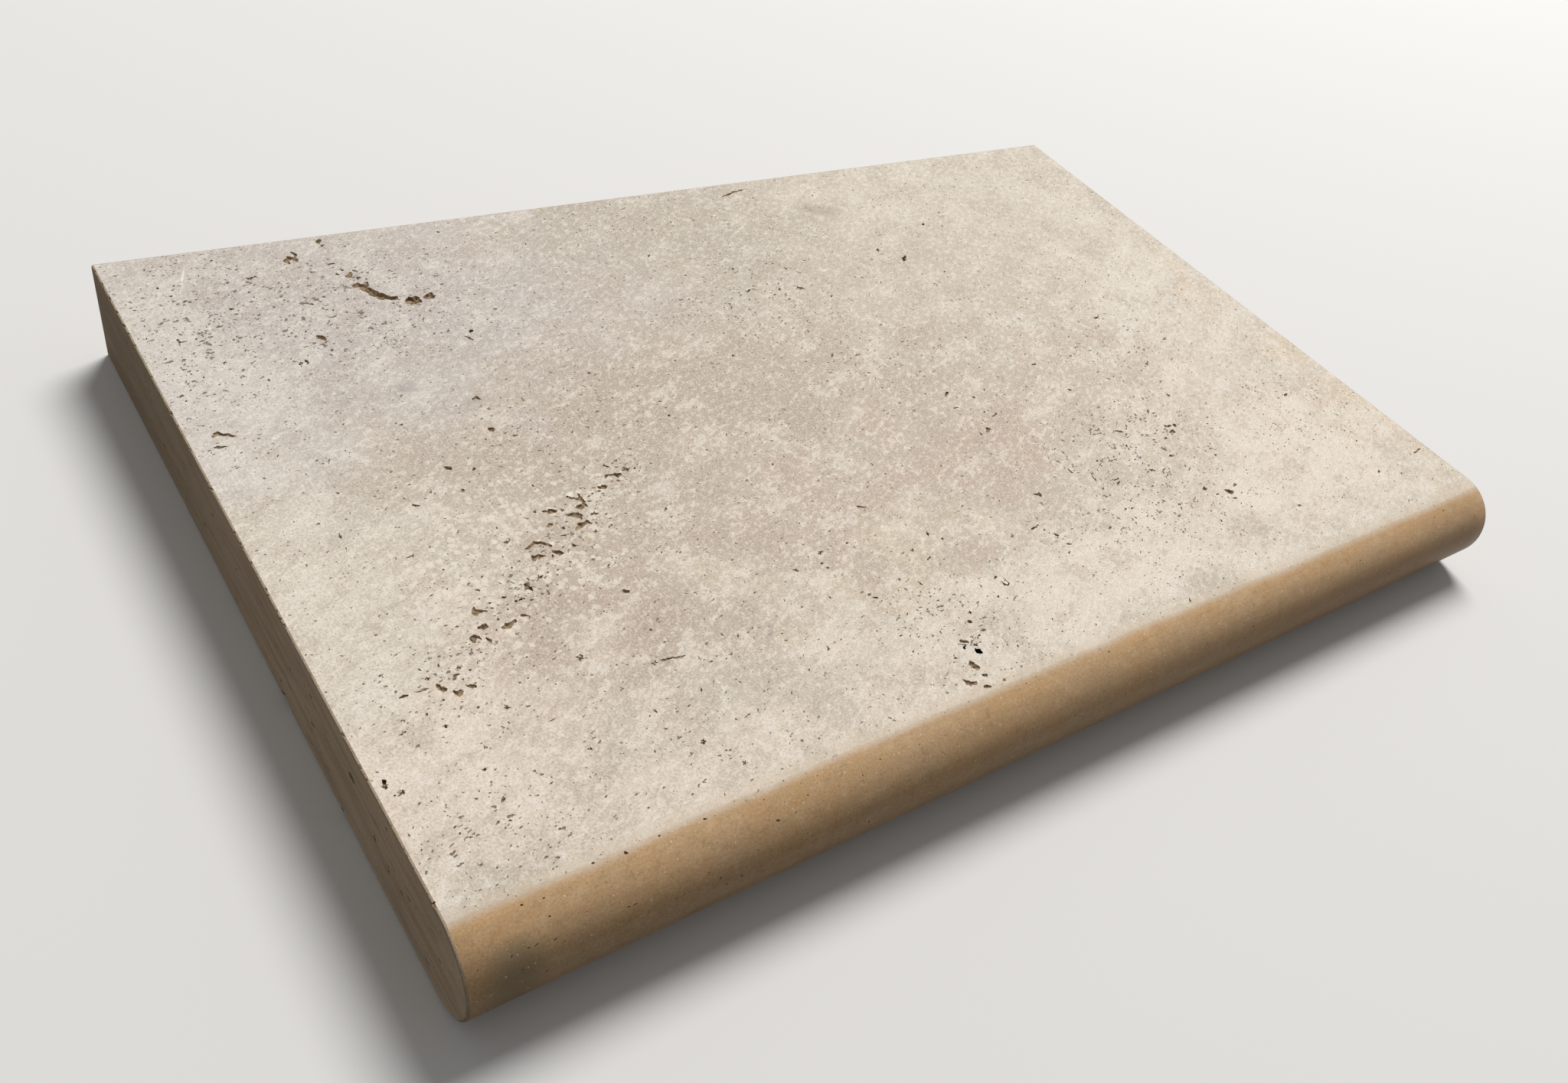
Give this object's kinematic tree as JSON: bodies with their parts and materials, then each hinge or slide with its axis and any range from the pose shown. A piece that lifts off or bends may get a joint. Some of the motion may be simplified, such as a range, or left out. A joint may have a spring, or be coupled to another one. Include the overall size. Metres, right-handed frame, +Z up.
{
  "type": "travertine pool coping",
  "caption": "Rectangular travertine coping slab with a full bullnose along one long edge, square sawn ends and back, and unfilled natural voids.",
  "frame": {"origin": "middle of the slab's footprint, on the bedding face", "axes": "+X along the bullnose, -Y out through the bullnose over the water, +Z up out of the paving face"},
  "size_m": [0.61, 0.4059, 0.05],
  "materials": {
    "travertine": "matte"
  },
  "bodies": {
    "root": {"travertine_coping": "travertine"}
  },
  "joints": []
}
